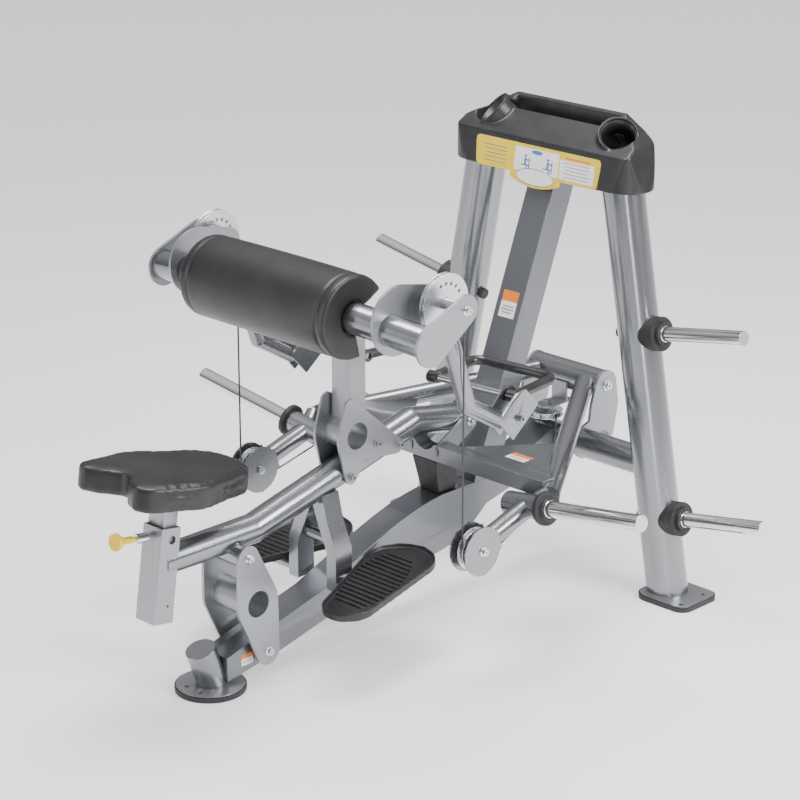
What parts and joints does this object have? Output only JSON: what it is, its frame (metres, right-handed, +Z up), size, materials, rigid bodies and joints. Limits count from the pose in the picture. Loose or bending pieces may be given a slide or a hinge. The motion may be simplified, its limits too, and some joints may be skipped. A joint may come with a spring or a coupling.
{
  "type": "seated arm curl machine",
  "caption": "Plate-loaded seated preacher curl machine with a rocking seat frame, cable-driven arm levers, D handles, weight horns and a storage tower.",
  "frame": {"origin": "on the floor under the middle of the machine's bounding box", "axes": "+Z up, +X from the seat towards the storage tower, +Y to the rider's left"},
  "size_m": [1.9285, 1.8072, 1.439],
  "materials": {
    "silver_paint": "metallic silver paint, gloss",
    "plate_paint": "light metallic silver paint, satin",
    "dark_paint": "metallic silver paint, gloss",
    "chrome": "polished",
    "black_rubber": "matt",
    "black_plastic": "satin moulded",
    "pad_vinyl": "fine grained vinyl",
    "grip_rubber": "smooth",
    "cable_jacket": "smooth nylon coat",
    "aluminium": "machined",
    "yellow_label": "printed label film",
    "yellow_knob": "gloss"
  },
  "bodies": {
    "base": {"front_foot": "plate_paint", "front_foot_rubber": "black_rubber", "front_post": "silver_paint", "spine_beam": "silver_paint", "bumper": "black_rubber", "tower_leg_right": "silver_paint", "tower_leg_left": "silver_paint", "rear_feet": "plate_paint", "rear_foot_rubbers": "black_rubber", "cross_tube": "silver_paint", "column": "dark_paint", "top_tray": "black_plastic", "placard": "yellow_label", "storage_horns": "chrome", "storage_collars": "black_rubber", "horn_bosses": "black_plastic", "tower_brackets": "plate_paint", "tower_pin": "chrome"},
    "weight_arm": {"pivot_sleeve": "dark_paint", "yoke_right": "silver_paint", "yoke_left": "silver_paint", "cross_beam": "dark_paint", "horn_hubs": "silver_paint", "weight_horns": "chrome", "weight_collars": "black_rubber", "pulley_arm_right": "silver_paint", "pulley_arm_left": "silver_paint", "pulley_pins": "chrome", "cable_guides": "plate_paint", "rear_pin": "chrome", "equaliser_bracket": "plate_paint", "cable_run": "cable_jacket"},
    "lower_pulley_right": {"lower_pulley_right": "aluminium"},
    "lower_pulley_left": {"lower_pulley_left": "aluminium"},
    "equaliser_pulley": {"equaliser_pulley": "aluminium"},
    "front_link": {"front_link": "plate_paint", "link_pins": "chrome"},
    "seat_frame": {"main_tube": "silver_paint", "seat_sleeve": "plate_paint", "pin_barrel": "chrome", "frame_brackets": "plate_paint", "upright": "plate_paint", "support_tube": "silver_paint", "elbow_plates": "plate_paint", "elbow_pins": "chrome", "arm_pad": "pad_vinyl", "pedal_hangers": "silver_paint", "pedal_right": "black_plastic", "pedal_left": "black_plastic", "cable_drop_right": "cable_jacket", "cable_drop_left": "cable_jacket"},
    "seat": {"seat_post": "silver_paint", "seat_pad": "pad_vinyl"},
    "pop_pin": {"pop_pin": "yellow_knob"},
    "arm_right": {"arm_right": "silver_paint", "cam_right": "aluminium"},
    "arm_left": {"arm_left": "silver_paint", "cam_left": "aluminium"},
    "handle_right": {"handle_right": "grip_rubber"},
    "handle_left": {"handle_left": "grip_rubber"}
  },
  "joints": [
    {"name": "weight_arm_lift", "type": "hinge", "parent": "base", "child": "weight_arm", "pos_m": [0.9053, 0, 0.565], "axis": [0, 1, 0], "range_deg": [0, 12]},
    {"name": "seat_frame_rock", "type": "hinge", "parent": "weight_arm", "child": "seat_frame", "pos_m": [0.3873, 0, 0.556], "axis": [0, 1, 0], "range_deg": [-18.6, 0], "deforming": ["cable_drop_right", "cable_drop_left"]},
    {"name": "front_link_swing", "type": "hinge", "parent": "base", "child": "front_link", "pos_m": [-0.4607, 0, 0.09], "axis": [0, 1, 0], "range_deg": [0, 6]},
    {"name": "arm_curl_right", "type": "hinge", "parent": "seat_frame", "child": "arm_right", "pos_m": [-0.1527, -0.459, 1.128], "axis": [0, -1, 0], "range_deg": [0, 110]},
    {"name": "arm_curl_left", "type": "hinge", "parent": "seat_frame", "child": "arm_left", "pos_m": [-0.1527, 0.459, 1.128], "axis": [0, -1, 0], "range_deg": [0, 110]},
    {"name": "handle_swivel_right", "type": "hinge", "parent": "arm_right", "child": "handle_right", "pos_m": [0.1573, -0.28, 0.777], "axis": [0.1132, -0.9936, 0], "range_deg": [0, 60]},
    {"name": "handle_swivel_left", "type": "hinge", "parent": "arm_left", "child": "handle_left", "pos_m": [0.1573, 0.28, 0.777], "axis": [-0.1132, -0.9936, 0], "range_deg": [0, 60]},
    {"name": "lower_pulley_spin_right", "type": "hinge", "parent": "weight_arm", "child": "lower_pulley_right", "pos_m": [-0.0207, -0.459, 0.382], "axis": [0, 1, 0], "range_deg": [0, 160]},
    {"name": "lower_pulley_spin_left", "type": "hinge", "parent": "weight_arm", "child": "lower_pulley_left", "pos_m": [-0.0207, 0.459, 0.382], "axis": [0, 1, 0], "range_deg": [0, 160]},
    {"name": "equaliser_spin", "type": "hinge", "parent": "weight_arm", "child": "equaliser_pulley", "pos_m": [0.7913, 0, 0.472], "axis": [0, 0, 1], "continuous": true},
    {"name": "seat_height", "type": "slide", "parent": "seat_frame", "child": "seat", "axis": [0.1478, 0, 0.989], "range_m": [-0.05, 0.09]},
    {"name": "pop_pin_pull", "type": "slide", "parent": "seat_frame", "child": "pop_pin", "axis": [-0.989, 0, 0.1478], "range_m": [0, 0.012], "stiffness_N_per_m": 1200, "springref_m": -0.01}
  ],
  "couplings": [
    {"joint": "seat_frame_rock", "follows": "weight_arm_lift", "ratio": -1.5405},
    {"joint": "front_link_swing", "follows": "weight_arm_lift", "ratio": 0.49},
    {"joint": "arm_curl_right", "follows": "weight_arm_lift", "ratio": 9.15},
    {"joint": "arm_curl_left", "follows": "weight_arm_lift", "ratio": 9.15},
    {"joint": "lower_pulley_spin_right", "follows": "weight_arm_lift", "ratio": 13.25},
    {"joint": "lower_pulley_spin_left", "follows": "weight_arm_lift", "ratio": 13.25}
  ]
}
